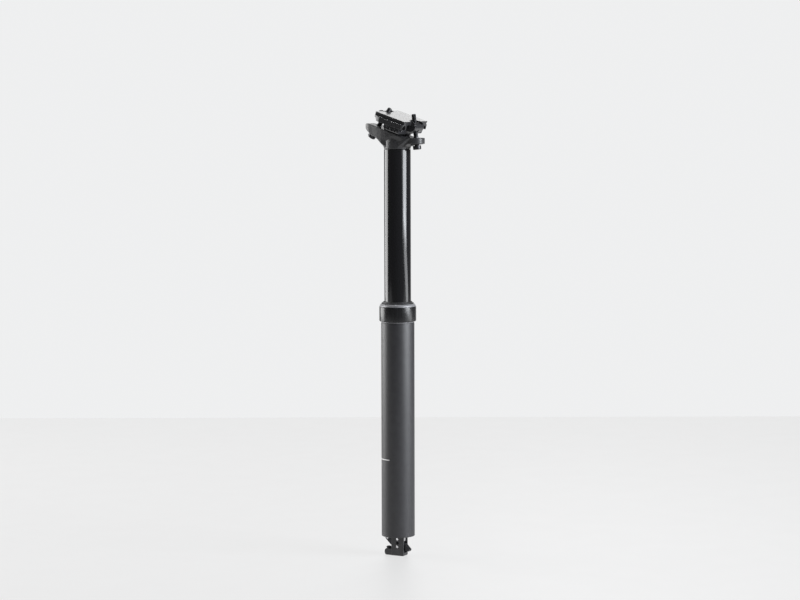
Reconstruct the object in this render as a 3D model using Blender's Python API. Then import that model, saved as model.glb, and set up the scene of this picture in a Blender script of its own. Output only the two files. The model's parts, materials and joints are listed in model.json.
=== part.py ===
"""Dropper seatpost, 34.9 mm, with 150 mm of travel, as separate pieces.

Frame: +Z runs up the post's axis, -Y is the front of the bicycle and X is sideways.
The origin is on the axis, at the collar's underside, where the post rests on a frame's seat tube.
Outlines are written as (forward, up) or (sideways, up), where forward is -Y.
"""

import math

import bmesh
import bpy
from mathutils import Matrix

MM = 0.001
GAP = 0.3 * MM
RUNNING_GAP = 0.12 * MM

# Round pieces: how many sides they have.
WIDE_SIDES = 40
INNER_SIDES = 24
SMALL_SIDES = 20

# Heights along the post.
FOOT_Z = -248 * MM
TUBE_BOTTOM_Z = -227 * MM
COLLAR_TOP_Z = 18.4 * MM
WIPER_TOP_Z = 20.8 * MM
HEAD_Z = 180 * MM
STANCHION_BOTTOM_Z = -58 * MM

# Travel and tube sizes.
TUBE_R = 17.45 * MM
TUBE_BORE_R = 15.75 * MM
THREAD_R = 16.7 * MM
THREAD_TOP_Z = 8 * MM
COLLAR_R = 19.35 * MM
STANCHION_R = 14 * MM
STANCHION_BORE_R = 12.2 * MM

# Anti-rotation keys.
KEY_COUNT = 3
KEY_HALF_WIDTH = 1.5 * MM
KEY_BOTTOM_Z = -38.5 * MM
KEY_TOP_Z = -31.5 * MM
KEY_INNER_R = 13.2 * MM
KEY_OUTER_R = 16.1 * MM
GROOVE_TOP_Z = -26 * MM

# Cartridge inside the stanchion.
ROD_R = 5 * MM
ROD_BORE_R = 2.4 * MM
ROD_BOTTOM_Z = -226 * MM
ROD_TOP_Z = -34 * MM
CYLINDER_R = 11.5 * MM
CYLINDER_BORE_R = 10.5 * MM
CYLINDER_BOTTOM_Z = -53 * MM
CYLINDER_TOP_Z = 163 * MM
FLOATING_PISTON_Z = 86 * MM

# Saddle clamp: its frame is turned nose down, and its origin is the tilt axis, level with the rails.
CLAMP_TILT = math.radians(18)
CLAMP_FORWARD = 2.6 * MM
CLAMP_Z = HEAD_Z + 26.1 * MM
RAIL_R = 3.5 * MM
RAIL_OFFSET = 22 * MM
SEAT_R = 14 * MM
NUT_R = 4 * MM
NUT_HALF_LENGTH = 8 * MM
NUT_HEIGHT = 3 * MM
CLAMP_BOSS_R = 5.8 * MM
CLAMP_HALF_LENGTH = 18 * MM
CRADLE_WING_REAR = -1 * MM
CRADLE_HALF_WIDTH = 10 * MM

# Clamp bolts: where their washers pivot in the head's lugs, how they lean, and where their threads end.
BOLT_R = 2.5 * MM
BOLT_HEAD_R = 4.25 * MM
BOLTS = {
    "front": {"forward": 23.06 * MM, "up": 4.4 * MM, "lean": math.radians(-6.7), "length": 32 * MM},
    "rear": {"forward": -28.3 * MM, "up": 15.6 * MM, "lean": math.radians(37.3), "length": 33 * MM},
}

# Actuator under the tube.
PIVOT_FORWARD = 1.5 * MM
PIVOT_Z = FOOT_Z + 9.5 * MM
CAP_PIN_Z = FOOT_Z + 17.6 * MM
PIN_R = 1.4 * MM
PLATE_INNER = 3.3 * MM
PLATE_OUTER = 4.8 * MM
LEVER_HALF_WIDTH = 2.6 * MM
BARREL_R = 1.3 * MM
HOUSING_FORWARD = -11 * MM
CAM_R = 3.6 * MM
CAM_RISE = 7.4 * MM
CAM_START = 101
RELEASE_PIN_R = 1.6 * MM
NOSE_R = 0.8 * MM
BOSS_BOTTOM_Z = FOOT_Z + 15.6 * MM


def clear_scene():
    for old in list(bpy.data.objects):
        bpy.data.objects.remove(old, do_unlink=True)


def material(name, colour, roughness, metallic=0.0):
    made = bpy.data.materials.new(name)
    made.use_nodes = True
    shader = made.node_tree.nodes["Principled BSDF"]
    shader.inputs["Base Color"].default_value = (*colour, 1)
    shader.inputs["Roughness"].default_value = roughness
    shader.inputs["Metallic"].default_value = metallic
    return made


def empty(name, forward=0.0, up=0.0, turn=0.0, parent=None):
    """A parent for moving pieces, on their joint's axis. Its turn is about X, nose down."""
    made = bpy.data.objects.new(name, None)
    made.location = (0, -forward, up)
    made.rotation_euler = (turn, 0, 0)
    made.parent = parent
    bpy.context.scene.collection.objects.link(made)
    return made


def to_object(name, shape, parent):
    bmesh.ops.remove_doubles(shape, verts=shape.verts, dist=1e-7)
    bmesh.ops.recalc_face_normals(shape, faces=shape.faces)
    mesh = bpy.data.meshes.new(name)
    shape.to_mesh(mesh)
    shape.free()
    made = bpy.data.objects.new(name, mesh)
    made.parent = parent
    bpy.context.scene.collection.objects.link(made)
    return made


def piece(name, shape, finish, parent=None):
    made = to_object(name, shape, parent)
    made.data.materials.append(finish)
    made.data.shade_smooth()
    made.data.set_sharp_from_angle(angle=math.radians(32))
    return made


def helper(name, shape, parent=None):
    """A cutter or a lump for a Boolean: it isn't a piece of the seatpost."""
    made = to_object(name, shape, parent)
    made.hide_render = True
    made.display_type = "WIRE"
    return made


def combine(target, other, operation):
    step = target.modifiers.new(operation.lower(), "BOOLEAN")
    step.operation = operation
    step.solver = "EXACT"
    step.object = other


def turned(profile, sides, turn=2 * math.pi):
    """A profile of (radius, height) turned about Z. It is closed, unless it starts and ends on the axis."""
    shape = bmesh.new()
    points = [shape.verts.new((radius, 0, height)) for radius, height in profile]
    edges = [shape.edges.new(pair) for pair in zip(points, points[1:])]
    if profile[0][0] > 0:
        edges.append(shape.edges.new((points[-1], points[0])))
    full = turn > 6.28
    steps = sides if full else sides - 1
    spun = bmesh.ops.spin(
        shape, geom=points + edges, axis=(0, 0, 1), cent=(0, 0, 0), angle=turn, steps=steps, use_merge=full
    )
    if not full:
        last = [item for item in spun["geom_last"] if isinstance(item, bmesh.types.BMVert)]
        shape.faces.new(points)
        shape.faces.new(last[::-1])
    return shape


def cylinder(radius, low, high, sides=SMALL_SIDES, across=False):
    """A solid cylinder along Z, or along X when it lies across the post."""
    shape = turned([(0, low), (radius, low), (radius, high), (0, high)], sides)
    if across:
        bmesh.ops.rotate(shape, verts=shape.verts, cent=(0, 0, 0), matrix=Matrix.Rotation(math.pi / 2, 3, "Y"))
    return shape


def ring(inner, outer, low, high, sides):
    return turned([(inner, low), (outer, low), (outer, high), (inner, high)], sides)


def prism(outline, low, high, along):
    """An outline pushed along X, Y or Z: (forward, up), (sideways, up) or (sideways, forward)."""
    place = {
        "X": lambda a, b: (low, -a, b),
        "Y": lambda a, b: (a, -low, b),
        "Z": lambda a, b: (a, -b, low),
    }[along]
    push = {"X": (high - low, 0, 0), "Y": (0, low - high, 0), "Z": (0, 0, high - low)}[along]
    shape = bmesh.new()
    face = shape.faces.new([shape.verts.new(place(a, b)) for a, b in outline])
    pushed = bmesh.ops.extrude_face_region(shape, geom=[face])
    moved = [item for item in pushed["geom"] if isinstance(item, bmesh.types.BMVert)]
    bmesh.ops.translate(shape, vec=push, verts=moved)
    return shape


def box(across, forward, up):
    """A box from three (low, high) pairs."""
    outline = [(forward[0], up[0]), (forward[1], up[0]), (forward[1], up[1]), (forward[0], up[1])]
    return prism(outline, across[0], across[1], "X")


def shifted(shape, across=0.0, forward=0.0, up=0.0):
    bmesh.ops.translate(shape, vec=(across, -forward, up), verts=shape.verts)
    return shape


def arc(centre, radius, start, end, steps):
    """Points on an arc, from a start to an end angle in degrees."""
    angles = [math.radians(start + (end - start) * step / steps) for step in range(steps + 1)]
    return [(centre[0] + radius * math.cos(a), centre[1] + radius * math.sin(a)) for a in angles]


def scaled(points):
    return [(a * MM, b * MM) for a, b in points]


def mirrored(half):
    """A whole outline from its right half, listed from the middle's top round to the middle's bottom."""
    return half + [(-a, b) for a, b in reversed(half) if a > 0]


clear_scene()
tube_black = material("tube_black", (0.035, 0.035, 0.038), 0.5)
gloss_black = material("gloss_black", (0.012, 0.012, 0.013), 0.15)
forged_black = material("forged_black", (0.045, 0.045, 0.047), 0.45)
clamp_black = material("clamp_black", (0.02, 0.02, 0.022), 0.2)
bare_alloy = material("bare_alloy", (0.6, 0.6, 0.6), 0.35, 1.0)
steel = material("steel", (0.55, 0.55, 0.56), 0.25, 1.0)
black_steel = material("black_steel", (0.05, 0.05, 0.05), 0.35, 0.6)
brass = material("brass", (0.75, 0.55, 0.25), 0.3, 1.0)
seal_rubber = material("seal_rubber", (0.02, 0.02, 0.02), 0.7)
guide_plastic = material("guide_plastic", (0.12, 0.13, 0.14), 0.5)

clamp_axis = empty("clamp_axis", CLAMP_FORWARD, CLAMP_Z, CLAMP_TILT)
lever_axis = empty("lever_axis", PIVOT_FORWARD, PIVOT_Z)
bolt_axes = {
    side: empty(f"{side}_bolt_axis", bolt["forward"], HEAD_Z + bolt["up"], bolt["lean"])
    for side, bolt in BOLTS.items()
}


def nut_place(side):
    """Where a bolt's axis crosses the nuts' plane: (forward in the clamp's frame, distance up the bolt)."""
    bolt = BOLTS[side]
    forward = bolt["forward"] - CLAMP_FORWARD
    up = HEAD_Z + bolt["up"] - CLAMP_Z
    along = forward * math.cos(CLAMP_TILT) - up * math.sin(CLAMP_TILT)
    height = forward * math.sin(CLAMP_TILT) + up * math.cos(CLAMP_TILT)
    lean = bolt["lean"] - CLAMP_TILT
    distance = (NUT_HEIGHT - height) / math.cos(lean)
    return along + distance * math.sin(lean), distance


def outer_tube():
    thread_bottom = -GAP
    bore_top = THREAD_TOP_Z
    profile = [
        (TUBE_BORE_R, TUBE_BOTTOM_Z),
        (TUBE_R - 1.0 * MM, TUBE_BOTTOM_Z),
        (TUBE_R, TUBE_BOTTOM_Z + 1.0 * MM),
        (TUBE_R, thread_bottom),
        (THREAD_R, thread_bottom),
        (THREAD_R, bore_top),
        (TUBE_BORE_R, bore_top),
    ]
    tube = piece("outer_tube", turned(profile, WIDE_SIDES), tube_black)
    for index in range(KEY_COUNT):
        groove = box(
            (TUBE_BORE_R - 1.5 * MM, KEY_OUTER_R + GAP),
            (-KEY_HALF_WIDTH - GAP, KEY_HALF_WIDTH + GAP),
            (TUBE_BOTTOM_Z + 20 * MM, GROOVE_TOP_Z),
        )
        turn_about_post(groove, index)
        combine(tube, helper(f"tube_groove_{index + 1}", groove), "DIFFERENCE")


def turn_about_post(shape, index):
    turn = Matrix.Rotation(2 * math.pi * (index + 0.25) / KEY_COUNT, 3, "Z")
    bmesh.ops.rotate(shape, verts=shape.verts, cent=(0, 0, 0), matrix=turn)


def collar_and_seals():
    thread_r, shoulder_r = THREAD_R + GAP, TUBE_R + 0.2 * MM
    seat_r, seat_z = TUBE_BORE_R + 0.15 * MM, THREAD_TOP_Z + 1 * MM
    collar_profile = [
        (shoulder_r, 0), (COLLAR_R - 0.6 * MM, 0), (COLLAR_R, 0.7 * MM), (COLLAR_R, COLLAR_TOP_Z - 3 * MM),
        (COLLAR_R - 2 * MM, COLLAR_TOP_Z), (seat_r, COLLAR_TOP_Z), (seat_r, seat_z), (thread_r, seat_z),
        (thread_r, shoulder_r - thread_r),
    ]
    piece("seal_collar", turned(collar_profile, WIDE_SIDES), gloss_black)
    lip_r, body_r = STANCHION_R + RUNNING_GAP, seat_r - GAP
    wiper_profile = [
        (lip_r, seat_z + 1 * MM), (body_r, seat_z + 1 * MM), (body_r, COLLAR_TOP_Z + GAP),
        (16.8 * MM, COLLAR_TOP_Z + GAP), (16.7 * MM, COLLAR_TOP_Z + 1.1 * MM), (14.7 * MM, WIPER_TOP_Z),
        (lip_r, WIPER_TOP_Z),
    ]
    piece("wiper_seal", turned(wiper_profile, WIDE_SIDES), seal_rubber)
    seal_profile = scaled([(14.12, 1.2), (15.45, 1.2), (15.45, 7.4), (14.9, 8.0), (14.12, 8.0)])
    piece("oil_seal", turned(seal_profile, WIDE_SIDES), seal_rubber)
    bushing = ring(STANCHION_R + RUNNING_GAP, TUBE_BORE_R - GAP, -22 * MM, 0.6 * MM, WIDE_SIDES)
    piece("upper_bushing", bushing, guide_plastic)


def bottom_cap():
    cap_r = TUBE_BORE_R - GAP
    profile = [
        (ROD_R + GAP, -213 * MM),
        (ROD_R + GAP, -225.5 * MM),
        (RELEASE_PIN_R + GAP, -225.5 * MM),
        (RELEASE_PIN_R + GAP, TUBE_BOTTOM_Z + 0.5 * MM),
        (cap_r - 0.6 * MM, TUBE_BOTTOM_Z + 0.5 * MM),
        (cap_r, TUBE_BOTTOM_Z + 1.1 * MM),
        (cap_r, -219.4 * MM),
        (cap_r - 1.6 * MM, -219.4 * MM),
        (cap_r - 1.6 * MM, -216.6 * MM),
        (cap_r, -216.6 * MM),
        (cap_r, -213 * MM),
    ]
    cap = piece("bottom_cap", turned(profile[::-1], INNER_SIDES), bare_alloy)
    boss = box((-3 * MM, 3 * MM), (-5 * MM, 7.6 * MM), (BOSS_BOTTOM_Z, TUBE_BOTTOM_Z + 1.2 * MM))
    combine(cap, helper("cap_boss", boss), "UNION")
    bore = cylinder(RELEASE_PIN_R + GAP, BOSS_BOTTOM_Z - 2 * MM, TUBE_BOTTOM_Z + 5 * MM)
    combine(cap, helper("cap_bore", bore), "DIFFERENCE")
    for name, hole in (("left", (-4 * MM, -2.0 * MM)), ("right", (2.0 * MM, 4 * MM))):
        drill = shifted(cylinder(PIN_R + GAP, *hole, across=True), 0, PIVOT_FORWARD, CAP_PIN_Z)
        combine(cap, helper(f"cap_pin_hole_{name}", drill), "DIFFERENCE")
    o_ring = ring(cap_r - 1.2 * MM, cap_r + 0.1 * MM, -219.0 * MM, -217.0 * MM, INNER_SIDES)
    piece("cap_o_ring", o_ring, seal_rubber)


def cartridge_rod_and_piston():
    rod_profile = [
        (ROD_BORE_R, ROD_BOTTOM_Z + 1.0 * MM),
        (ROD_R, ROD_BOTTOM_Z + 1.0 * MM),
        (ROD_R, -43.5 * MM),
        (3.5 * MM, -43.5 * MM),
        (3.5 * MM, ROD_TOP_Z),
        (ROD_BORE_R, ROD_TOP_Z),
    ]
    piece("cartridge_rod", turned(rod_profile, INNER_SIDES), steel)
    piston_r = CYLINDER_BORE_R - GAP
    piston_profile = [
        (3.8 * MM, -43.2 * MM),
        (piston_r, -43.2 * MM),
        (piston_r, -40.4 * MM),
        (piston_r - 1.5 * MM, -40.4 * MM),
        (piston_r - 1.5 * MM, -37.8 * MM),
        (piston_r, -37.8 * MM),
        (piston_r, -36.2 * MM),
        (3.8 * MM, -36.2 * MM),
    ]
    piece("cartridge_piston", turned(piston_profile, INNER_SIDES), bare_alloy)
    seal = ring(piston_r - 1.2 * MM, piston_r + 0.1 * MM, -40.1 * MM, -38.1 * MM, INNER_SIDES)
    piece("piston_seal", seal, seal_rubber)
    hex_nut("piston_nut", 3.5 * MM + GAP, 6.2 * MM, -35.9 * MM, -32.5 * MM)
    hex_nut("rod_lock_nut", ROD_R + GAP, 8.2 * MM, -212.7 * MM, -208.8 * MM)


def hex_nut(name, bore, radius, low, high):
    nut = piece(name, prism(arc((0, 0), radius, 0, 300, 5), low, high, "Z"), steel)
    drill = cylinder(bore, low - 2 * MM, high + 2 * MM, INNER_SIDES)
    combine(nut, helper(f"{name}_bore", drill), "DIFFERENCE")


def stanchion():
    profile = [
        (STANCHION_BORE_R, STANCHION_BOTTOM_Z),
        (STANCHION_R, STANCHION_BOTTOM_Z),
        (STANCHION_R, HEAD_Z - GAP),
        (STANCHION_BORE_R, HEAD_Z - GAP),
    ]
    tube = piece("stanchion_tube", turned(profile, WIDE_SIDES), gloss_black)
    for index in range(KEY_COUNT):
        pocket = box(
            (KEY_INNER_R - GAP, STANCHION_R + 2 * MM),
            (-KEY_HALF_WIDTH - GAP, KEY_HALF_WIDTH + GAP),
            (KEY_BOTTOM_Z - GAP, KEY_TOP_Z + GAP),
        )
        turn_about_post(pocket, index)
        combine(tube, helper(f"key_pocket_{index + 1}", pocket), "DIFFERENCE")
        half = KEY_HALF_WIDTH
        key = box((KEY_INNER_R, KEY_OUTER_R), (-half, half), (KEY_BOTTOM_Z, KEY_TOP_Z))
        turn_about_post(key, index)
        piece(f"anti_rotation_key_{index + 1}", key, brass)
    inner, outer = STANCHION_R + 0.15 * MM, TUBE_BORE_R - GAP
    piece("lower_bushing", ring(inner, outer, -56 * MM, -40 * MM, WIDE_SIDES), guide_plastic)
    piece("top_out_bumper", ring(inner, outer, -30.5 * MM, -22.4 * MM, WIDE_SIDES), seal_rubber)


def cartridge_cylinder():
    cylinder_wall = ring(CYLINDER_BORE_R, CYLINDER_R, CYLINDER_BOTTOM_Z, CYLINDER_TOP_Z, INNER_SIDES)
    piece("cartridge_cylinder", cylinder_wall, bare_alloy)
    plug_r = CYLINDER_BORE_R - GAP
    gland = [
        (ROD_R + RUNNING_GAP, -52.5 * MM),
        (plug_r, -52.5 * MM),
        (plug_r, -46.0 * MM),
        (6.8 * MM, -46.0 * MM),
        (6.8 * MM, -48.6 * MM),
        (ROD_R + RUNNING_GAP, -48.6 * MM),
    ]
    piece("cartridge_gland", turned(gland, INNER_SIDES), bare_alloy)
    rod_seal = ring(ROD_R + RUNNING_GAP, 6.5 * MM, -48.3 * MM, -46.3 * MM, INNER_SIDES)
    piece("rod_seal", rod_seal, seal_rubber)
    fill_cap = [
        (0, 157 * MM), (plug_r, 157 * MM), (plug_r, CYLINDER_TOP_Z), (2.6 * MM, CYLINDER_TOP_Z),
        (2.6 * MM, CYLINDER_TOP_Z + 3 * MM), (0, CYLINDER_TOP_Z + 3 * MM),
    ]
    piece("gas_fill_cap", turned(fill_cap, INNER_SIDES), bare_alloy)
    floating = turned([
        (0, FLOATING_PISTON_Z), (plug_r, FLOATING_PISTON_Z), (plug_r, FLOATING_PISTON_Z + 8 * MM),
        (6 * MM, FLOATING_PISTON_Z + 8 * MM), (6 * MM, FLOATING_PISTON_Z + 3 * MM),
        (0, FLOATING_PISTON_Z + 3 * MM),
    ], INNER_SIDES)
    piece("floating_piston", floating, guide_plastic)
    clip = turned(
        scaled([(11.0, -54.4), (11.9, -54.4), (11.9, -53.3), (11.0, -53.3)]), INNER_SIDES, math.radians(320)
    )
    piece("cartridge_circlip", clip, steel)


def saddle_head():
    """A forged head: side outline crossed with plan outline, on a round neck with a spigot in the stanchion."""
    side = scaled([
        (13.2, 0.5), (14.8, 3.4), (17, 5.2), (29.6, 5.2), (31.3, 6.6), (31.3, 10.3), (29.8, 11.6), (15.6, 11.6),
        (13.2, 12.5), (-24, 24.8), (-32.6, 26.4), (-35.6, 25.4), (-36.5, 22.2), (-24.6, 13.2), (-19, 11),
        (-18.2, 6.2), (-13.2, 0.5),
    ])
    side = [(forward, up + HEAD_Z) for forward, up in side]
    right = [(0, -36.5 * MM)] + arc((0, -27.5 * MM), 9 * MM, 290, 350, 4)
    right += scaled([(9.7, -25), (11.1, -19), (12.3, -13), (13.1, -7), (13.5, -1), (13.5, 8), (12.8, 12)])
    right += scaled([(11.2, 16)])
    right += arc((0, 22 * MM), 9.3 * MM, 10, 70, 4) + [(0, 31.3 * MM)]
    head = piece("saddle_head", prism(side, -14 * MM, 14 * MM, "X"), forged_black)
    plan = prism(mirrored(right), HEAD_Z - 5 * MM, HEAD_Z + 40 * MM, "Z")
    combine(head, helper("head_plan", plan), "INTERSECT")
    flare = scaled([(0, -5), (13.6, -5), (13.6, 1), (15.2, 3.5), (17.8, 6.2), (20.4, 9.5), (23.5, 12.6)])
    flare += scaled([(40, 16), (40, 40), (0, 40)])
    funnel = helper("head_funnel", turned([(radius, up + HEAD_Z) for radius, up in flare], WIDE_SIDES))
    front_arm = box((-9.45 * MM, 9.45 * MM), (8 * MM, 33 * MM), (HEAD_Z + 2.6 * MM, HEAD_Z + 13 * MM))
    combine(funnel, helper("head_front_arm", front_arm), "UNION")
    combine(head, funnel, "INTERSECT")
    waist = scaled([(0, -5), (12.3, -5), (12.3, 9), (13.6, 14), (13.6, 40), (0, 40)])
    waist = [(across, up + HEAD_Z) for across, up in waist]
    combine(head, helper("head_waist", prism(mirrored(waist), -45 * MM, 45 * MM, "Y")), "INTERSECT")
    spigot_r = STANCHION_BORE_R - GAP
    neck = turned([
        (0, 168 * MM), (spigot_r, 168 * MM), (spigot_r, HEAD_Z), (STANCHION_R, HEAD_Z),
        (STANCHION_R, HEAD_Z + 8 * MM), (12 * MM, HEAD_Z + 12 * MM), (0, HEAD_Z + 12 * MM),
    ], WIDE_SIDES)
    combine(head, helper("head_neck", neck), "UNION")
    seat = cylinder(SEAT_R + GAP, -CRADLE_HALF_WIDTH - GAP, CRADLE_HALF_WIDTH + GAP, WIDE_SIDES, across=True)
    combine(head, helper("head_seat", seat, clamp_axis), "DIFFERENCE")
    for side_name, axis in bolt_axes.items():
        drill = cylinder(3.1 * MM, -4 * MM, 26 * MM)
        combine(head, helper(f"{side_name}_lug_hole", drill, axis), "DIFFERENCE")
        recess = cylinder(5.0 * MM + GAP, -5.2 * MM, 5.2 * MM, across=True)
        combine(head, helper(f"{side_name}_lug_recess", recess, axis), "DIFFERENCE")


def lower_cradle():
    groove = arc((RAIL_OFFSET, 0), RAIL_R + 0.1 * MM, 207, 333, 8)
    right = scaled([(0, -1.6)]) + groove + scaled([(25.6, -2.2), (25.6, -5.0), (24.4, -6.2), (0, -6.2)])
    bars = prism(mirrored(right), CRADLE_WING_REAR, 15 * MM, "Y")
    cradle = piece("lower_cradle", bars, clamp_black, clamp_axis)
    for side in (-1, 1):
        for forward in (1.4, 5.4, 9.4):
            low, high = sorted((side * 24.2 * MM, side * 27 * MM))
            pocket = box((low, high), (forward * MM, (forward + 2.2) * MM), (-5.2 * MM, 0))
            combine(cradle, helper(f"cradle_pocket_{side}_{forward}", pocket, clamp_axis), "DIFFERENCE")
    belly = arc((0, 0), SEAT_R, 207, 333, 14) + scaled([(12.4, -2.2), (-12.4, -2.2)])
    belly = prism(belly, -CRADLE_HALF_WIDTH, CRADLE_HALF_WIDTH, "X")
    combine(cradle, helper("cradle_belly", belly, clamp_axis), "UNION")
    for side_name in BOLTS:
        forward, distance = nut_place(side_name)
        relief = cylinder(CLAMP_BOSS_R + 0.6 * MM, -10.2 * MM, 10.2 * MM, across=True)
        relief = shifted(relief, 0, forward, NUT_HEIGHT)
        combine(cradle, helper(f"{side_name}_cradle_relief", relief, clamp_axis), "DIFFERENCE")
        drill = cylinder(3.8 * MM, distance - 30 * MM, distance)
        combine(cradle, helper(f"{side_name}_cradle_hole", drill, bolt_axes[side_name]), "DIFFERENCE")


def upper_clamp():
    crown = arc((RAIL_OFFSET, 0), RAIL_R + 0.15 * MM, 0, 180, 10)
    right = scaled([(0, 8.2), (24.9, 8.2), (25.3, 7.6), (24.3, 6.9), (24.3, 4.9), (26.5, 4.5), (27, 4.0)])
    right += scaled([(27, -1.0), (25.65, -1.0)]) + crown
    right += scaled([(18.35, -1.0), (16.8, -1.0), (16.8, 3.2), (15.6, 4.2), (0, 4.2)])
    plate = prism(mirrored(right), -CLAMP_HALF_LENGTH, CLAMP_HALF_LENGTH, "Y")
    clamp = piece("upper_clamp", plate, clamp_black, clamp_axis)
    plan = scaled([(0, -18.5), (23.2, -18.5), (24.8, -17.2), (26.1, -13.5), (27.5, -9), (27.5, 15.5)])
    plan += scaled([(25.5, 18.5), (0, 18.5)])
    plan = prism(mirrored(plan), -10 * MM, 12 * MM, "Z")
    combine(clamp, helper("clamp_plan", plan, clamp_axis), "INTERSECT")
    for side_name in BOLTS:
        forward, distance = nut_place(side_name)
        lump = shifted(cylinder(CLAMP_BOSS_R, -9.6 * MM, 9.6 * MM, across=True), 0, forward, NUT_HEIGHT)
        combine(clamp, helper(f"{side_name}_nut_boss", lump, clamp_axis), "UNION")
        hollow = NUT_HALF_LENGTH + GAP
        groove = shifted(cylinder(NUT_R + GAP, -hollow, hollow, across=True), 0, forward, NUT_HEIGHT)
        combine(clamp, helper(f"{side_name}_nut_groove", groove, clamp_axis), "DIFFERENCE")
        reach = NUT_R + GAP
        mouth = box((-hollow, hollow), (forward - reach, forward + reach), (NUT_HEIGHT, 12 * MM))
        combine(clamp, helper(f"{side_name}_nut_mouth", mouth, clamp_axis), "DIFFERENCE")
        drill = cylinder(3.6 * MM, distance - 12 * MM, distance + 16 * MM)
        combine(clamp, helper(f"{side_name}_clamp_hole", drill, bolt_axes[side_name]), "DIFFERENCE")


def clamp_bolts():
    for side_name, axis in bolt_axes.items():
        length = BOLTS[side_name]["length"]
        head_bottom, head_top = -5 * MM, -0.9 * MM
        profile = [
            (0, head_bottom), (BOLT_HEAD_R - 0.55 * MM, head_bottom), (BOLT_HEAD_R, head_bottom + 0.6 * MM),
            (BOLT_HEAD_R, head_top), (BOLT_R, head_top), (BOLT_R, length - 1 * MM),
            (BOLT_R - 0.8 * MM, length), (0, length),
        ]
        bolt = piece(f"{side_name}_clamp_bolt", turned(profile, SMALL_SIDES), black_steel, axis)
        socket = cylinder(2.3 * MM, -8 * MM, -2.6 * MM, 6)
        combine(bolt, helper(f"{side_name}_bolt_socket", socket, axis), "DIFFERENCE")
        half_round = arc((0, 0), 5 * MM, 0, 180, 10)
        washer = piece(f"{side_name}_washer", prism(half_round, -4.6 * MM, 4.6 * MM, "X"), black_steel, axis)
        drill = cylinder(BOLT_R + GAP, -4 * MM, 8 * MM)
        combine(washer, helper(f"{side_name}_washer_hole", drill, axis), "DIFFERENCE")
        forward, distance = nut_place(side_name)
        turn = BOLTS[side_name]["lean"] - CLAMP_TILT
        nut_axis = empty(f"{side_name}_nut_axis", forward, NUT_HEIGHT, turn, clamp_axis)
        nut_body = cylinder(NUT_R, -NUT_HALF_LENGTH, NUT_HALF_LENGTH, across=True)
        nut = piece(f"{side_name}_barrel_nut", nut_body, black_steel, nut_axis)
        thread = cylinder(BOLT_R + 0.35 * MM, -8 * MM, 8 * MM)
        combine(nut, helper(f"{side_name}_nut_thread", thread, nut_axis), "DIFFERENCE")


def actuator_bracket():
    """Two plates, a base and a rear foot that holds the housing stop. Heights are over the foot."""
    plate = scaled([(-5.8, 0.3), (-5, 0), (8, 0), (8.8, 0.8), (8.8, 20.4), (-5.8, 20.4)])
    plate = [(forward, up + FOOT_Z) for forward, up in plate]
    bracket = piece("actuator_bracket", prism(plate, -PLATE_OUTER, PLATE_OUTER, "X"), forged_black)
    throat = box((-PLATE_INNER, PLATE_INNER), (-10 * MM, 12 * MM), (FOOT_Z + 3.4 * MM, FOOT_Z + 25 * MM))
    combine(bracket, helper("bracket_throat", throat), "DIFFERENCE")
    foot = scaled([(-5.2, 0), (-5.2, 6.8), (-12.6, 6.8), (-13.9, 5.4), (-14.3, 3.4), (-13.9, 1.2), (-12.6, 0)])
    foot = [(forward, up + FOOT_Z) for forward, up in foot]
    combine(bracket, helper("bracket_foot", prism(foot, -4.2 * MM, 4.2 * MM, "X")), "UNION")
    socket = shifted(cylinder(2.3 * MM + GAP, -2 * MM, 9 * MM), 0, HOUSING_FORWARD, FOOT_Z)
    combine(bracket, helper("bracket_socket", socket), "DIFFERENCE")
    for name, forward, up in (("lever", PIVOT_FORWARD, PIVOT_Z), ("cap", PIVOT_FORWARD, CAP_PIN_Z)):
        drill = shifted(cylinder(PIN_R + GAP, -8 * MM, 8 * MM, across=True), 0, forward, up)
        combine(bracket, helper(f"{name}_pin_drill", drill), "DIFFERENCE")
    window = scaled([(-0.4, 14.5), (0.1, 13.1), (1.7, 12.3), (3.3, 13.1), (3.8, 14.5)])
    window = [(forward, up + FOOT_Z) for forward, up in window]
    combine(bracket, helper("bracket_window", prism(window, -8 * MM, 8 * MM, "X")), "DIFFERENCE")
    ferrule = turned([
        (1.0 * MM, FOOT_Z + 7.6 * MM), (1.0 * MM, FOOT_Z + 8.6 * MM), (1.9 * MM, FOOT_Z + 8.9 * MM),
        (2.9 * MM, FOOT_Z + 8.3 * MM), (2.9 * MM, FOOT_Z + 7.1 * MM), (2.3 * MM, FOOT_Z + 7.1 * MM),
        (2.3 * MM, FOOT_Z + 0.6 * MM), (1.9 * MM, FOOT_Z + 0.6 * MM), (1.9 * MM, FOOT_Z + 6.6 * MM),
        (1.0 * MM, FOOT_Z + 6.6 * MM),
    ][::-1], SMALL_SIDES)
    piece("housing_stop", shifted(ferrule, 0, HOUSING_FORWARD, 0), black_steel)


def actuator_pins():
    inner, outer = 2.3 * MM, PLATE_OUTER + 0.4 * MM
    for name, low, high in (("left", -outer, -inner), ("right", inner, outer)):
        stub = cylinder(PIN_R, low, high, across=True)
        piece(f"cap_pin_{name}", shifted(stub, 0, PIVOT_FORWARD, CAP_PIN_Z), steel)
    pivot = cylinder(PIN_R, -PLATE_OUTER - 0.4 * MM, PLATE_OUTER + 0.4 * MM, across=True)
    piece("lever_pivot_pin", shifted(pivot, 0, PIVOT_FORWARD, PIVOT_Z), steel)


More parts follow.
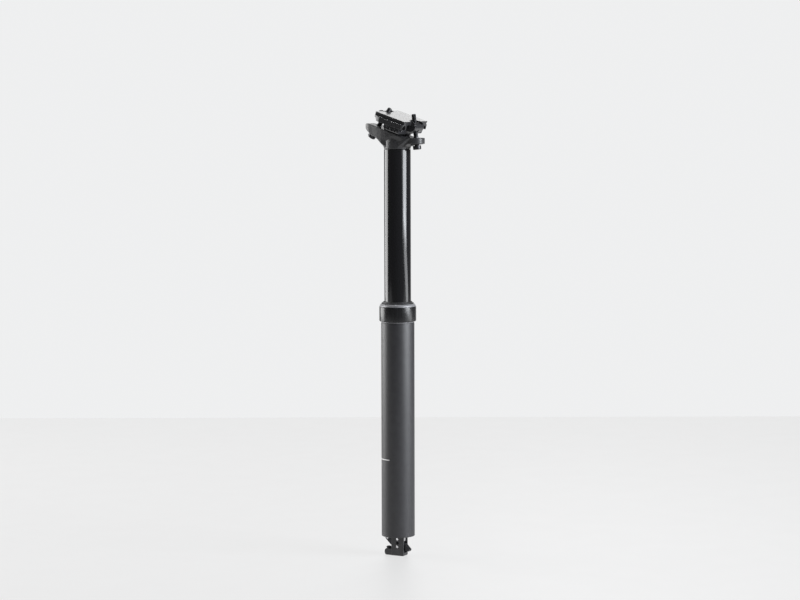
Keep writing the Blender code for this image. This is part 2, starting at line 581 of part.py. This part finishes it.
def actuator_lever():
    """A plate lever: rear arm for the cable, spiral cam under the release pin, and front fin."""
    cam = []
    for angle in (118, 109, 101, 97, 93, 90, 87):
        radius = CAM_R + CAM_RISE * math.radians(max(0, CAM_START - angle))
        cam.append((radius * math.cos(math.radians(angle)), radius * math.sin(math.radians(angle))))
    rest = scaled([(6.4, 3.9), (7.4, 3.4), (12.9, -2.2), (12.9, -3.3), (12.2, -4.4), (5.5, -4.4), (2.6, -3.4)])
    under = arc((0, 0), CAM_R, 300, 200, 6)
    arm = scaled([(-9.2, 1.4), (-15.6, 7.8), (-15.6, 9.4), (-14.4, 10.4), (-12.4, 10.4), (-6.9, 5.9)])
    outline = cam + rest + under + arm
    body = prism(outline, -LEVER_HALF_WIDTH, LEVER_HALF_WIDTH, "X")
    lever = piece("actuator_lever", body, black_steel, lever_axis)
    barrel_place = (-13.3 * MM, 8.4 * MM)
    bore = cylinder(PIN_R + RUNNING_GAP, -6 * MM, 6 * MM, across=True)
    combine(lever, helper("lever_bore", bore, lever_axis), "DIFFERENCE")
    seat = shifted(cylinder(BARREL_R + GAP, -6 * MM, 6 * MM, across=True), 0, *barrel_place)
    combine(lever, helper("lever_seat", seat, lever_axis), "DIFFERENCE")
    barrel = cylinder(BARREL_R, -LEVER_HALF_WIDTH, LEVER_HALF_WIDTH, across=True)
    piece("cable_barrel", shifted(barrel, 0, *barrel_place), steel, lever_axis)


def release_pin():
    tip = PIVOT_Z + CAM_R + 0.1 * MM
    shoulder = tip + 2.0 * MM
    top = ROD_BOTTOM_Z + 20 * MM
    profile = [
        (0, tip), (NOSE_R, tip), (NOSE_R, shoulder), (RELEASE_PIN_R, shoulder + 0.4 * MM), (RELEASE_PIN_R, top),
        (0, top),
    ]
    piece("release_pin", turned(profile, SMALL_SIDES), steel)


for build in (
    outer_tube,
    collar_and_seals,
    bottom_cap,
    cartridge_rod_and_piston,
    stanchion,
    cartridge_cylinder,
    saddle_head,
    lower_cradle,
    upper_clamp,
    clamp_bolts,
    actuator_bracket,
    actuator_pins,
    actuator_lever,
    release_pin,
):
    build()
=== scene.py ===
"""Looks of the dropper seatpost: fine meshes, node materials, studio and camera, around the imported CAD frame.

Metres, +Z up the post, -Y the front of the bicycle. "forward" below means -Y.
"""

import json
import math

import bmesh
import bpy
from mathutils import Matrix, Vector

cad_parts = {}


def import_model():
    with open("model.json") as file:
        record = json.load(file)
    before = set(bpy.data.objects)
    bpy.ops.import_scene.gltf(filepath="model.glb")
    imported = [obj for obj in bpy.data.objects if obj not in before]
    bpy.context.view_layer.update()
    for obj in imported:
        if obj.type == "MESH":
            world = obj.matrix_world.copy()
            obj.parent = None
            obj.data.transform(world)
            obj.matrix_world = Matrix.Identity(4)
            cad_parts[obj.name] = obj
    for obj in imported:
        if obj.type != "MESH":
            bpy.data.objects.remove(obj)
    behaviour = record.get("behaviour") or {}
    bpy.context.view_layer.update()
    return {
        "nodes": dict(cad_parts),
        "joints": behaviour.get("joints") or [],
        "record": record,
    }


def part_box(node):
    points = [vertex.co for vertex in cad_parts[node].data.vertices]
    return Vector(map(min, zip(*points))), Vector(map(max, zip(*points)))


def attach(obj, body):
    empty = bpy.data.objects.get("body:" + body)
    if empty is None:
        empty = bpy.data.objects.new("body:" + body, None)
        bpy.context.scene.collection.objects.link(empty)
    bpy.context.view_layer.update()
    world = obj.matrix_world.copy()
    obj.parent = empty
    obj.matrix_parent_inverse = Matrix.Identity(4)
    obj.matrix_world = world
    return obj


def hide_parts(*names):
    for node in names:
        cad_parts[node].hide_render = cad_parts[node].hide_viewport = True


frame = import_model()
MM = 0.001

# Levels and sizes read from the frame.
FOOT_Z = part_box("actuator_bracket")[0].z
TUBE_LOW, TUBE_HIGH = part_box("outer_tube")
COLLAR_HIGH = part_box("seal_collar")[1]
WIPER_LOW, WIPER_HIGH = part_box("wiper_seal")
STANCHION_LOW, STANCHION_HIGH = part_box("stanchion_tube")
TUBE_R = TUBE_HIGH.x
COLLAR_R = COLLAR_HIGH.x
STANCHION_R = STANCHION_HIGH.x
TUBE_WALL = 1.7 * MM
STANCHION_WALL = 1.8 * MM
JOINTS = {joint["name"]: joint for joint in frame["joints"]}
ROUND = 160  # sides of a turned piece
SHARP_ANGLE = 35  # degrees


# ---------------------------------------------------------------- materials


class Nodes:
    """A Principled material that is built from short calls."""

    def __init__(self, name, colour, roughness, metallic=0.0, coat=0.0, coat_roughness=0.05, specular=0.5):
        self.material = bpy.data.materials.new(name)
        self.material.use_nodes = True
        self.tree = self.material.node_tree
        self.shader = self.tree.nodes["Principled BSDF"]
        self.shader.inputs["Base Color"].default_value = (*colour, 1)
        self.shader.inputs["Roughness"].default_value = roughness
        self.shader.inputs["Metallic"].default_value = metallic
        self.shader.inputs["Coat Weight"].default_value = coat
        self.shader.inputs["Coat Roughness"].default_value = coat_roughness
        self.shader.inputs["Specular IOR Level"].default_value = specular
        self.coords = self.add("ShaderNodeTexCoord").outputs["Object"]

    def add(self, kind, **settings):
        node = self.tree.nodes.new(kind)
        for key, value in settings.items():
            setattr(node, key, value)
        return node

    def link(self, source, target):
        self.tree.links.new(source, target)

    def stretched(self, scale):
        mapping = self.add("ShaderNodeMapping")
        mapping.inputs["Scale"].default_value = scale
        self.link(self.coords, mapping.inputs["Vector"])
        return mapping.outputs["Vector"]

    def noise(self, size, detail=3.0, stretch=(1, 1, 1)):
        """Noise whose grains are about `size` metres across."""
        node = self.add("ShaderNodeTexNoise")
        node.inputs["Scale"].default_value = 1 / size
        node.inputs["Detail"].default_value = detail
        self.link(self.stretched(stretch), node.inputs["Vector"])
        return node.outputs["Fac"]

    def ranged(self, value, low, high, source_low=0.3, source_high=0.7):
        node = self.add("ShaderNodeMapRange")
        node.inputs["From Min"].default_value = source_low
        node.inputs["From Max"].default_value = source_high
        node.inputs["To Min"].default_value = low
        node.inputs["To Max"].default_value = high
        self.link(value, node.inputs["Value"])
        return node.outputs["Result"]

    def vary_roughness(self, value, low, high):
        self.link(self.ranged(value, low, high), self.shader.inputs["Roughness"])

    def vary_colour(self, value, dark, light):
        ramp = self.add("ShaderNodeValToRGB")
        ramp.color_ramp.elements[0].position = 0.35
        ramp.color_ramp.elements[1].position = 0.65
        ramp.color_ramp.elements[0].color = (*dark, 1)
        ramp.color_ramp.elements[1].color = (*light, 1)
        self.link(value, ramp.inputs["Fac"])
        self.link(ramp.outputs["Color"], self.shader.inputs["Base Color"])

    def bump(self, value, height, strength=0.5):
        node = self.add("ShaderNodeBump")
        node.inputs["Distance"].default_value = height
        node.inputs["Strength"].default_value = strength
        self.link(value, node.inputs["Height"])
        self.link(node.outputs["Normal"], self.shader.inputs["Normal"])


def satin_tube():
    """Bead-blasted and anodised: an even, fine grain."""
    made = Nodes("satin_tube", (0.03, 0.03, 0.033), 0.4, specular=0.64)
    made.vary_colour(made.noise(6 * MM, 4), (0.017, 0.017, 0.02), (0.022, 0.022, 0.025))
    made.vary_roughness(made.noise(0.5 * MM), 0.41, 0.5)
    made.bump(made.noise(0.25 * MM, 2), 0.02 * MM, 0.35)
    return made.material


def gloss_anodised(name="gloss_anodised", tint=(0.008, 0.008, 0.009), low=0.08, high=0.14):
    """Polished under the anodising, with the faintest lengthways polishing marks."""
    made = Nodes(name, tint, 0.1)
    made.vary_roughness(made.noise(1.2 * MM, 4, (1, 1, 0.06)), low, high)
    made.bump(made.noise(0.4 * MM, 3, (1, 1, 0.04)), 0.004 * MM, 0.2)
    return made.material


def forged_satin():
    """A forging under satin black: soft waves and a blasted grain."""
    made = Nodes("forged_satin", (0.03, 0.03, 0.032), 0.38)
    made.vary_colour(made.noise(5 * MM, 4), (0.026, 0.026, 0.028), (0.036, 0.036, 0.038))
    made.vary_roughness(made.noise(0.6 * MM), 0.3, 0.42)
    made.bump(made.noise(0.35 * MM, 3), 0.03 * MM, 0.4)
    return made.material


def gloss_forged():
    """The clamp's gloss black, over a skin that isn't quite flat."""
    made = Nodes("gloss_forged", (0.022, 0.022, 0.024), 0.25, coat=0.25, coat_roughness=0.08)
    made.vary_roughness(made.noise(1.5 * MM, 3), 0.2, 0.32)
    made.bump(made.noise(1.1 * MM, 3), 0.012 * MM, 0.3)
    return made.material


def black_oxide():
    made = Nodes("black_oxide", (0.035, 0.035, 0.038), 0.34, metallic=0.7)
    made.vary_colour(made.noise(1.4 * MM, 4), (0.025, 0.025, 0.028), (0.05, 0.05, 0.053))
    made.vary_roughness(made.noise(0.6 * MM), 0.25, 0.42)
    return made.material


def metal(name, colour, roughness, grain=(1, 1, 1)):
    made = Nodes(name, colour, roughness, metallic=1.0)
    made.vary_roughness(made.noise(0.5 * MM, 4, grain), roughness * 0.7, roughness * 1.4)
    made.bump(made.noise(0.3 * MM, 2, grain), 0.005 * MM, 0.3)
    return made.material


def soft(name, colour, roughness, grain):
    made = Nodes(name, colour, roughness)
    made.vary_roughness(made.noise(grain, 4), roughness - 0.08, roughness + 0.08)
    made.bump(made.noise(grain, 3), 0.02 * MM, 0.4)
    return made.material


def cut_edge():
    """A turned edge, half way between bare and anodised: it stays pale from every side."""
    made = Nodes("cut_edge", (0.23, 0.23, 0.24), 0.45, metallic=0.35)
    made.vary_roughness(made.noise(0.3 * MM, 4, (1, 1, 0.1)), 0.38, 0.55)
    return made.material


def white_ink():
    made = Nodes("white_ink", (0.75, 0.75, 0.75), 0.45)
    made.vary_colour(made.noise(0.5 * MM, 3), (0.68, 0.68, 0.68), (0.8, 0.8, 0.8))
    return made.material


FINISH = {
    "tube_satin": satin_tube(),
    "gloss_anodised": gloss_anodised(),
    "forged_satin": forged_satin(),
    "clamp_gloss": gloss_forged(),
    "bare_alloy": metal("bare_alloy", (0.62, 0.62, 0.63), 0.3, (1, 1, 0.1)),
    "steel": metal("steel", (0.6, 0.6, 0.61), 0.2),
    "black_steel": black_oxide(),
    "brass": metal("brass", (0.7, 0.5, 0.22), 0.28),
    "seal_rubber": soft("seal_rubber", (0.014, 0.014, 0.015), 0.5, 0.6 * MM),
    "guide_plastic": soft("guide_plastic", (0.1, 0.11, 0.12), 0.45, 0.8 * MM),
}
WHITE_INK = white_ink()
COLLAR_GLOSS = gloss_anodised("collar_gloss", (0.009, 0.009, 0.01), 0.2, 0.3)
CUT_EDGE = cut_edge()
SLOT_OF = {part["node"]: part["material_slot"] for part in frame["record"]["subparts"]}
BODY_OF = {node: body for body, nodes in frame["record"]["behaviour"]["bodies"].items() for node in nodes}
for node, shown in frame["nodes"].items():
    shown.data.materials.clear()
    shown.data.materials.append(FINISH[SLOT_OF[node]])
    shown.data.shade_smooth()


# ---------------------------------------------------------------- shapes


def to_piece(name, shape, body, slot, replaces=(), finish=None, sharp=SHARP_ANGLE):
    bmesh.ops.recalc_face_normals(shape, faces=shape.faces)
    mesh = bpy.data.meshes.new(name)
    shape.to_mesh(mesh)
    shape.free()
    made = bpy.data.objects.new(name, mesh)
    bpy.context.scene.collection.objects.link(made)
    made.data.materials.append(finish or FINISH[slot])
    made.data.shade_smooth()
    made.data.set_sharp_from_angle(angle=math.radians(sharp))
    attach(made, body)
    if replaces:
        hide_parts(*replaces)
    return made


def turned(profile, sides=ROUND):
    """A (radius, height) profile turned about Z: closed, unless it starts and ends on the axis."""
    shape = bmesh.new()
    closed = profile[0][0] > 0
    rows = []
    for radius, height in profile:
        if radius == 0:
            rows.append([shape.verts.new((0, 0, height))])
            continue
        row = []
        for step in range(sides):
            angle = 2 * math.pi * step / sides
            row.append(shape.verts.new((radius * math.cos(angle), radius * math.sin(angle), height)))
        rows.append(row)
    pairs = list(zip(rows, rows[1:]))
    if closed:
        pairs.append((rows[-1], rows[0]))
    for low, high in pairs:
        for step in range(sides):
            after = (step + 1) % sides
            lower_two = [low[step % len(low)], low[after % len(low)]]
            upper_two = [high[after % len(high)], high[step % len(high)]]
            unique = list(dict.fromkeys(lower_two + upper_two))
            if len(unique) > 2:
                shape.faces.new(unique)
    return shape


NEARLY_STRAIGHT = math.radians(84)  # half of a corner's angle, from which it is left as it is
ROUNDED_SHARE = 0.45  # how much of a profile's stretch one rounded corner may take


def rounded(profile, radius, steps=4, closed=True):
    """The profile with each corner turned into a curve of up to about that radius."""
    made = []
    count = len(profile)
    for index, point in enumerate(profile):
        if not closed and index in (0, count - 1):
            made.append(point)
            continue
        here = Vector(point)
        before = Vector(profile[index - 1]) - here
        after = Vector(profile[(index + 1) % count]) - here
        half = before.angle(after) / 2
        if half > NEARLY_STRAIGHT:
            made.append(point)
            continue
        reach = min(radius / math.tan(half), before.length * ROUNDED_SHARE, after.length * ROUNDED_SHARE)
        first, last = here + before.normalized() * reach, here + after.normalized() * reach
        for step in range(steps + 1):
            share = step / steps
            mixed = first.lerp(here, share).lerp(here.lerp(last, share), share)
            made.append((mixed.x, mixed.y))
    return made


def forged(name, node, edge, detail, lean=0.0):
    """A node's own shape with its edges softened. Its faces stand square after a turn of `lean` about X."""
    source = frame["nodes"][node]
    upright = Matrix.Rotation(-lean, 4, "X")
    made = bpy.data.objects.new(name, source.data.copy())
    made.data.transform(upright)
    bpy.context.scene.collection.objects.link(made)
    remesh = made.modifiers.new("skin", "REMESH")
    remesh.mode = "VOXEL"
    remesh.voxel_size = detail
    smooth = made.modifiers.new("edges", "SMOOTH")
    smooth.factor = 0.5
    smooth.iterations = edge
    bpy.context.view_layer.update()
    graph = bpy.context.evaluated_depsgraph_get()
    mesh = bpy.data.meshes.new_from_object(made.evaluated_get(graph))
    made.modifiers.clear()
    made.data = mesh
    mesh.transform(upright.inverted())
    mesh.materials.clear()
    mesh.materials.append(FINISH[SLOT_OF[node]])
    mesh.shade_smooth()
    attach(made, BODY_OF[node])
    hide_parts(node)
    return made


def placed(shape, place):
    bmesh.ops.transform(shape, matrix=place, verts=shape.verts)
    return shape


# ---------------------------------------------------------------- tubes, collar and seals


def outer_tube():
    """The satin shell, plain inside, and the bare band between it and the collar."""
    bore = TUBE_R - TUBE_WALL
    rim = TUBE_R - 0.35 * MM
    shell_top, band_low, band_high = -1.25 * MM, -1.2 * MM, -0.35 * MM
    shell = [(bore, TUBE_LOW.z), (TUBE_R, TUBE_LOW.z), (TUBE_R, shell_top), (bore, shell_top)]
    to_piece("outer_tube_shell", turned(rounded(shell, 1.1 * MM)), "outer_post", "tube_satin", ["outer_tube"])
    edge = [(bore, band_low), (rim, band_low), (rim, band_high), (bore, band_high)]
    shape = turned(rounded(edge, 0.1 * MM, 2))
    to_piece("tube_machined_edge", shape, "outer_post", "bare_alloy", finish=CUT_EDGE)


INK_LOW, INK_HIGH = 0.005 * MM, 0.03 * MM  # the ink's two faces, above the tube's surface
LINE_UP = 82 * MM  # the insertion line, above the outer tube's lower end
TICKS = 7
TICK_STEP = 8  # degrees
TICK_WIDTH = 2.2  # degrees
FIRST_TICK = 86  # degrees


def printed(name, height, thick, start, end, steps):
    """A printed mark: a thin skin on the outer tube between two angles in degrees, with its ends rounded."""
    shape = bmesh.new()
    inner, outer = TUBE_R + INK_LOW, TUBE_R + INK_HIGH
    rows = []
    for step in range(steps + 1):
        angle = math.radians(start + (end - start) * step / steps)
        inset = min(step, steps - step) * math.radians(abs(end - start)) / steps * TUBE_R
        half = thick / 2
        if inset < half:
            half = max(0.25 * half, math.sqrt(half * half - (half - inset) ** 2))
        row = []
        for radius, level in ((inner, -half), (outer, -half), (outer, half), (inner, half)):
            row.append(shape.verts.new((radius * math.cos(angle), radius * math.sin(angle), height + level)))
        rows.append(row)
    for low, high in zip(rows, rows[1:]):
        for corner in range(4):
            after = (corner + 1) % 4
            shape.faces.new((low[corner], low[after], high[after], high[corner]))
    shape.faces.new(rows[0][::-1])
    shape.faces.new(rows[-1])
    return to_piece(name, shape, "outer_post", "tube_satin", finish=WHITE_INK)


def printed_marks():
    """The insertion line, half way round the tube, and a row of long and short ticks under it."""
    line = TUBE_LOW.z + LINE_UP
    printed("insertion_line", line, 1.0 * MM, 0, 178, 240)
    for index in range(TICKS):
        start = FIRST_TICK + TICK_STEP * index
        tall = 3.2 * MM if index % 3 == 0 else 1.8 * MM
        printed(f"insertion_tick_{index + 1}", line - 5.4 * MM, tall, start, start + TICK_WIDTH, 8)


def collar():
    """The gloss ring, the pale chamfer cut on its top, and the wiper that stands in it."""
    bore, thread = 15.9 * MM, 17.0 * MM
    shoulder, thread_top = 17.65 * MM, 9 * MM
    wall_top = COLLAR_HIGH.z - 3 * MM
    profile = [
        (shoulder, 0), (COLLAR_R - 0.6 * MM, 0), (COLLAR_R, 0.7 * MM), (COLLAR_R, wall_top),
        (COLLAR_R - 0.5 * MM, wall_top), (bore, wall_top), (bore, thread_top), (thread, thread_top),
        (thread, 0.65 * MM),
    ]
    shape = turned(rounded(profile, 0.2 * MM, 3))
    to_piece("seal_collar_ring", shape, "outer_post", "gloss_anodised", ["seal_collar"], finish=COLLAR_GLOSS)
    edge = [
        (bore, wall_top), (COLLAR_R - 0.03 * MM, wall_top), (COLLAR_R - 0.9 * MM, wall_top + 1.7 * MM),
        (COLLAR_R - 2 * MM, COLLAR_HIGH.z), (bore, COLLAR_HIGH.z),
    ]
    shape = turned(rounded(edge, 0.6 * MM, 3))
    to_piece("collar_cut_edge", shape, "outer_post", "bare_alloy", finish=CUT_EDGE)
    near = STANCHION_R + 0.12 * MM
    root, flange, flange_z = 15.6 * MM, 16.8 * MM, 18.7 * MM
    top = WIPER_HIGH.z
    lip = [
        (near, WIPER_LOW.z), (root, WIPER_LOW.z), (root, flange_z), (flange, flange_z),
        (16.7 * MM, 19.5 * MM), (15.5 * MM, 19.7 * MM), (14.9 * MM, top), (near, top),
    ]
    to_piece("wiper_lip", turned(rounded(lip, 0.3 * MM, 3)), "outer_post", "seal_rubber", ["wiper_seal"])


def stanchion():
    bore = STANCHION_R - STANCHION_WALL
    wall = [
        (bore, STANCHION_LOW.z), (STANCHION_R, STANCHION_LOW.z), (STANCHION_R, STANCHION_HIGH.z),
        (bore, STANCHION_HIGH.z),
    ]
    shape = turned(rounded(wall, 0.5 * MM, 3))
    to_piece("stanchion_shell", shape, "inner_post", "gloss_anodised", ["stanchion_tube"])


# ---------------------------------------------------------------- bolts, nuts and pins


def bolt_place(side):
    """The bolt's frame: its origin where the washer pivots, its Z up the shank to the nut."""
    pivot = Vector(JOINTS[f"{side}_bolt_pivot"]["pos_m"])
    nut = Vector(JOINTS[f"{side}_nut_swivel"]["pos_m"])
    along = (nut - pivot).normalized()
    return Matrix.Translation(pivot) @ Matrix.Rotation(math.atan2(-along.y, along.z), 4, "X")


BOLT_R = 2.5 * MM
BOLT_LENGTH = {"front": 32 * MM, "rear": 33 * MM}  # from the washer's pivot to the tip
THREAD_START = 9 * MM
THREAD_PITCH, THREAD_DEPTH = 0.8 * MM, 0.42 * MM
TIP_INSET, TIP_SLOPE = 0.75 * MM, 0.9  # the chamfer on the tip
HEXAGON_R, HEXAGON_FLOOR = 2.3 * MM, -2.6 * MM


def threaded(radius, pitch, depth, low, high, sides=32, rows_per_turn=6):
    """A threaded rod with a chamfered tip: its radius follows the thread's helix."""
    shape = bmesh.new()
    count = round((high - low) / pitch * rows_per_turn)
    rows = []
    for index in range(count + 1):
        height = low + (high - low) * index / count
        row = []
        for step in range(sides):
            turn = step / sides
            phase = (height / pitch - turn) % 1
            local = radius - depth * abs(2 * phase - 1)
            local = min(local, radius - TIP_INSET + (high - height) * TIP_SLOPE)
            row.append(shape.verts.new((
                local * math.cos(2 * math.pi * turn), local * math.sin(2 * math.pi * turn), height
            )))
        rows.append(row)
    for lower, upper in zip(rows, rows[1:]):
        for step in range(sides):
            after = (step + 1) % sides
            shape.faces.new((lower[step], lower[after], upper[after], upper[step]))
    shape.faces.new(rows[0][::-1])
    shape.faces.new(rows[-1])
    return shape


def cut(made, cutter_shape):
    """Takes a shape out of a piece and applies the cut."""
    bmesh.ops.recalc_face_normals(cutter_shape, faces=cutter_shape.faces)
    mesh = bpy.data.meshes.new("cutter")
    cutter_shape.to_mesh(mesh)
    cutter_shape.free()
    cutter = bpy.data.objects.new("cutter", mesh)
    bpy.context.scene.collection.objects.link(cutter)
    step = made.modifiers.new("cut", "BOOLEAN")
    step.operation = "DIFFERENCE"
    step.object = cutter
    bpy.context.view_layer.update()
    graph = bpy.context.evaluated_depsgraph_get()
    done = bpy.data.meshes.new_from_object(made.evaluated_get(graph))
    made.modifiers.clear()
    made.data = done
    done.shade_smooth()
    done.set_sharp_from_angle(angle=math.radians(SHARP_ANGLE))
    bpy.data.objects.remove(cutter)


def clamp_bolts():
    """Each bolt as a head with its hexagon socket and a threaded rod, with its washer and its barrel nut."""
    for side in ("front", "rear"):
        place = bolt_place(side)
        body = f"{side}_bolt"
        head = [
            (0, -5 * MM), (3.7 * MM, -5 * MM), (4.25 * MM, -4.4 * MM), (4.25 * MM, -0.9 * MM),
            (BOLT_R, -0.9 * MM), (BOLT_R, THREAD_START), (0, THREAD_START),
        ]
        shape = placed(turned(rounded(head, 0.2 * MM, 2, closed=False), 64), place)
        made = to_piece(f"{side}_bolt_head", shape, body, "black_steel", [f"{side}_clamp_bolt"])
        below = -7 * MM
        hexagon = [(0, below), (HEXAGON_R, below), (HEXAGON_R, HEXAGON_FLOOR), (0, HEXAGON_FLOOR)]
        cut(made, placed(turned(hexagon, 6), place))
        rod = threaded(BOLT_R, THREAD_PITCH, THREAD_DEPTH, THREAD_START, BOLT_LENGTH[side])
        to_piece(f"{side}_bolt_thread", placed(rod, place), body, "black_steel", sharp=80)
        forged(f"{side}_half_round_washer", f"{side}_washer", 1, 0.12 * MM)
        forged(f"{side}_barrel_nut_body", f"{side}_barrel_nut", 2, 0.14 * MM)


def actuator():
    forged("bracket_casting", "actuator_bracket", 2, 0.13 * MM)
    forged("lever_plate", "actuator_lever", 2, 0.12 * MM)
    forged("housing_socket", "housing_stop", 1, 0.09 * MM)
    for node in ("lever_pivot_pin", "cap_pin_left", "cap_pin_right", "cable_barrel"):
        forged(f"{node}_ground", node, 1, 0.09 * MM)


CLAMP_TILT = math.radians(18)


def head_and_clamp():
    forged("head_forging", "saddle_head", 14, 0.3 * MM, CLAMP_TILT)
    forged("cradle_forging", "lower_cradle", 5, 0.2 * MM, CLAMP_TILT)
    forged("clamp_forging", "upper_clamp", 10, 0.2 * MM, CLAMP_TILT)


# ---------------------------------------------------------------- studio and camera

VIEW_AZIMUTH = math.radians(-61)
CAMERA_DISTANCE = 2.71
CAMERA_Z = 0.259
LENS = 117
AIM_Z = 0.022
AIM_ASIDE = 2.4 * MM
ROLL = math.radians(-0.136)
TO_CAMERA = Vector((math.sin(VIEW_AZIMUTH), -math.cos(VIEW_AZIMUTH), 0))
TO_RIGHT = Vector((math.cos(VIEW_AZIMUTH), math.sin(VIEW_AZIMUTH), 0))


def camera():
    made = bpy.data.objects.new("camera", bpy.data.cameras.new("camera"))
    bpy.context.scene.collection.objects.link(made)
    made.data.lens = LENS
    made.data.sensor_width = 36
    made.location = TO_CAMERA * CAMERA_DISTANCE + Vector((0, 0, CAMERA_Z))
    aim = TO_RIGHT * AIM_ASIDE + Vector((0, 0, AIM_Z))
    turn = (aim - made.location).to_track_quat("-Z", "Y").to_matrix() @ Matrix.Rotation(ROLL, 3, "Z")
    made.rotation_euler = turn.to_euler()
    bpy.context.scene.camera = made


def round_post(angle, distance, height):
    """A place round the post, by its angle to the right of the camera's direction."""
    side = math.radians(angle)
    flat = TO_CAMERA * math.cos(side) + TO_RIGHT * math.sin(side)
    return flat * distance + Vector((0, 0, height))


def softbox(name, angle, distance, low, high, width, power, tint=(1, 1, 1), target_z=0.0):
    """An area light from one height to another, turned to a point on the post's axis."""
    data = bpy.data.lights.new(name, "AREA")
    data.shape = "RECTANGLE"
    data.size = width
    data.size_y = high - low
    data.energy = power
    data.color = tint
    made = bpy.data.objects.new(name, data)
    bpy.context.scene.collection.objects.link(made)
    made.location = round_post(angle, distance, (low + high) / 2)
    look = Vector((0, 0, target_z)) - made.location
    made.rotation_euler = look.to_track_quat("-Z", "Z").to_euler()
    made.visible_camera = False


COOL = (0.92, 0.955, 1.0)
FLOOR_HALF_WIDTH, FLOOR_BEHIND, FLOOR_AHEAD = 2.2, -1.1, 1.2


def studio():
    bpy.context.scene.view_settings.view_transform = "Standard"
    softbox("right_box", 68, 1.6, 0.04, 1.3, 0.9, 46, COOL, 0.3)
    softbox("right_low_box", 78, 1.6, -0.2, 0.04, 1.3, 4.6, (0.95, 0.97, 1.0), 0.0)
    softbox("right_ramp", 46, 1.6, 0.04, 1.3, 0.45, 5.0, COOL, 0.3)
    softbox("left_strip", -110, 1.5, -0.25, 1.2, 1.1, 30, target_z=0.3)
    softbox("top_box", 180, 0.3, 1.7, 1.71, 1.5, 10, target_z=0.0)
    softbox("back_box", 172, 1.5, 0.6, 1.1, 1.2, 2, target_z=0.2)
    floor_shape = bmesh.new()
    corners = []
    outline = (
        (-FLOOR_HALF_WIDTH, FLOOR_BEHIND), (FLOOR_HALF_WIDTH, FLOOR_BEHIND),
        (FLOOR_HALF_WIDTH, FLOOR_AHEAD), (-FLOOR_HALF_WIDTH, FLOOR_AHEAD),
    )
    for aside, towards in outline:
        corners.append(TO_RIGHT * aside + TO_CAMERA * towards + Vector((0, 0, FOOT_Z - 0.1 * MM)))
    floor_shape.faces.new([floor_shape.verts.new(corner) for corner in corners])
    mesh = bpy.data.meshes.new("floor")
    floor_shape.to_mesh(mesh)
    floor_shape.free()
    floor = bpy.data.objects.new("floor", mesh)
    bpy.context.scene.collection.objects.link(floor)
    paint = Nodes("floor_paint", (0.08, 0.08, 0.08), 0.6, specular=0.2)
    paint.vary_roughness(paint.noise(40 * MM), 0.45, 0.47)
    paint.shader.inputs["Emission Color"].default_value = (1, 1, 1, 1)
    paint.shader.inputs["Emission Strength"].default_value = 0.66
    floor.data.materials.append(paint.material)


def world():
    """A pale wall for the camera. All else sees a dim dome that is bright straight behind the post."""
    made = bpy.data.worlds.new("studio")
    bpy.context.scene.world = made
    made.use_nodes = True
    tree = made.node_tree
    tree.nodes.clear()
    output = tree.nodes.new("ShaderNodeOutputWorld")
    mix = tree.nodes.new("ShaderNodeMixShader")
    path = tree.nodes.new("ShaderNodeLightPath")
    wall = tree.nodes.new("ShaderNodeBackground")
    wall.inputs["Color"].default_value = (0.86, 0.865, 0.87, 1)
    dome = tree.nodes.new("ShaderNodeBackground")
    coords = tree.nodes.new("ShaderNodeTexCoord")
    behind = tree.nodes.new("ShaderNodeVectorMath")
    behind.operation = "DOT_PRODUCT"
    behind.inputs[1].default_value = -TO_CAMERA
    rise = tree.nodes.new("ShaderNodeMapRange")
    rise.inputs["From Min"].default_value = 0.75
    rise.inputs["From Max"].default_value = 1.0
    rise.inputs["To Min"].default_value = 0.1
    rise.inputs["To Max"].default_value = 0.9
    tree.links.new(coords.outputs["Generated"], behind.inputs[0])
    tree.links.new(behind.outputs["Value"], rise.inputs["Value"])
    tree.links.new(rise.outputs["Result"], dome.inputs["Color"])
    tree.links.new(path.outputs["Is Camera Ray"], mix.inputs["Fac"])
    tree.links.new(dome.outputs["Background"], mix.inputs[1])
    tree.links.new(wall.outputs["Background"], mix.inputs[2])
    tree.links.new(mix.outputs["Shader"], output.inputs["Surface"])


camera()
studio()
world()
outer_tube()
printed_marks()
collar()
stanchion()
head_and_clamp()
clamp_bolts()
actuator()
